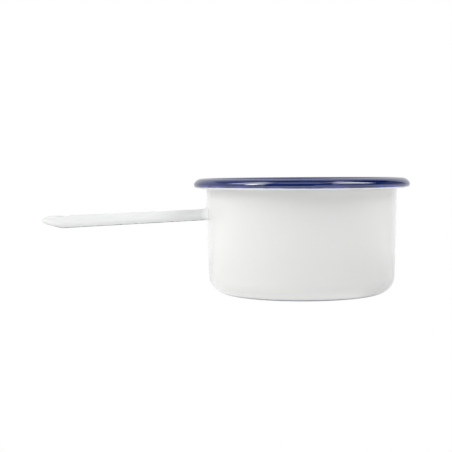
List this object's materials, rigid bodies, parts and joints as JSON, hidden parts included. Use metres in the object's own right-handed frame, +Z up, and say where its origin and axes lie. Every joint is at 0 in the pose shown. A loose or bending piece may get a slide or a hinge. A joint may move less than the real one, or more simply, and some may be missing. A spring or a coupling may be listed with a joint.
{
  "type": "milk pan",
  "caption": "Small round steel saucepan for warming milk: straight enamelled wall, curled coloured rim and a long pressed channel handle with a hanging hole.",
  "frame": {"origin": "centre of the pan's flat base, on the face it stands on", "axes": "+Z up, along the bowl's axis; the handle points along -X; Y is across the handle"},
  "size_m": [0.2744, 0.1588, 0.0847],
  "materials": {
    "white_enamel": "glossy vitreous enamel on pressed steel",
    "blue_enamel": "glossy cobalt-blue vitreous enamel",
    "handle_enamel": "glossy vitreous enamel, dark ground coat showing at the sheared edge",
    "weld_enamel": "glossy vitreous enamel over a dressed fillet weld"
  },
  "bodies": {
    "root": {"pan_body": "white_enamel", "rim_enamel": "blue_enamel", "handle": "handle_enamel", "handle_weld": "weld_enamel"}
  },
  "joints": []
}
